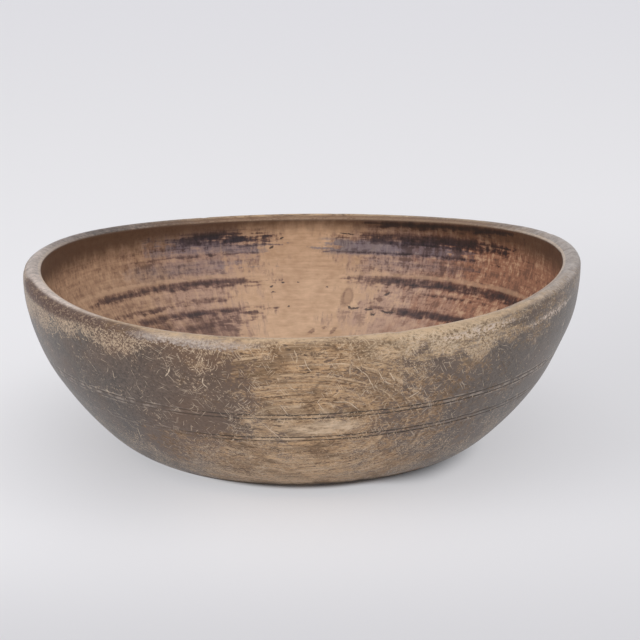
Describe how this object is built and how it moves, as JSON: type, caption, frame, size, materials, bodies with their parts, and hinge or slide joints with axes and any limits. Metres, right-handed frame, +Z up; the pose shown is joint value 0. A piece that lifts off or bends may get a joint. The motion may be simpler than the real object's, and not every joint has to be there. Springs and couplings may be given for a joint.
{
  "type": "ale bowl",
  "caption": "Wide open bowl turned from one block of wood, with a flat foot, full rounded wall, rolled lip and scribed lines, for serving ale.",
  "frame": {"origin": "the middle of the flat foot, on the surface that the bowl stands on", "axes": "+Z up out of the bowl's mouth, +X along the grain of the wood, which is the bowl's longer way across, +Y towards the back"},
  "size_m": [0.34, 0.3214, 0.1216],
  "materials": {
    "wood": "old, dry, rubbed and stained wood, dark and faintly glossy on the end grain, paler where it is worn"
  },
  "bodies": {
    "root": {"bowl": "wood"}
  },
  "joints": []
}
